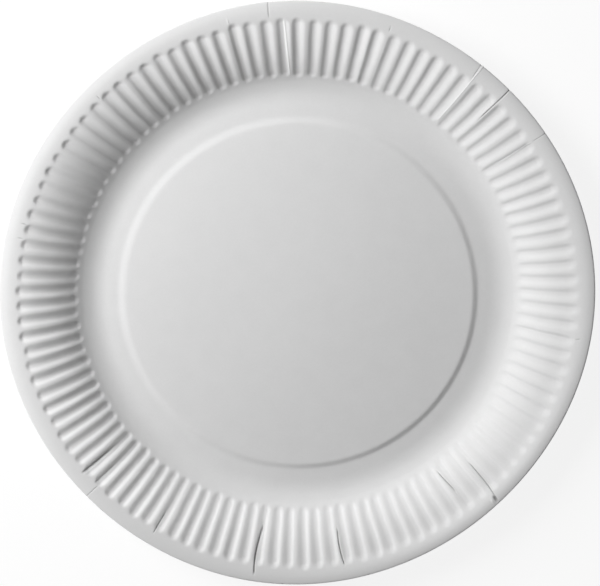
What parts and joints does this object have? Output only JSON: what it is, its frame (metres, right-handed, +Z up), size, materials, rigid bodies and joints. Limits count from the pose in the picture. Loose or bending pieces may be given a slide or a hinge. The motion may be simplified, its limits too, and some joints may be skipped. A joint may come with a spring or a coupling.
{
  "type": "paper plate",
  "caption": "Round shallow paper plate pressed from one sheet of white board, with a raised centre disc, a fluted sloping wall and a rolled rim, for serving food.",
  "frame": {"origin": "on the plate's axis, at the level of the surface that its foot ring stands on", "axes": "+Z up along the plate's axis, out of the open top; +X along one groove of the fluted wall; the plate is round, so it has no front"},
  "size_m": [0.23, 0.23, 0.015],
  "materials": {
    "board": "matt white, faintly mottled by the fibres"
  },
  "bodies": {
    "root": {"plate": "board"}
  },
  "joints": []
}
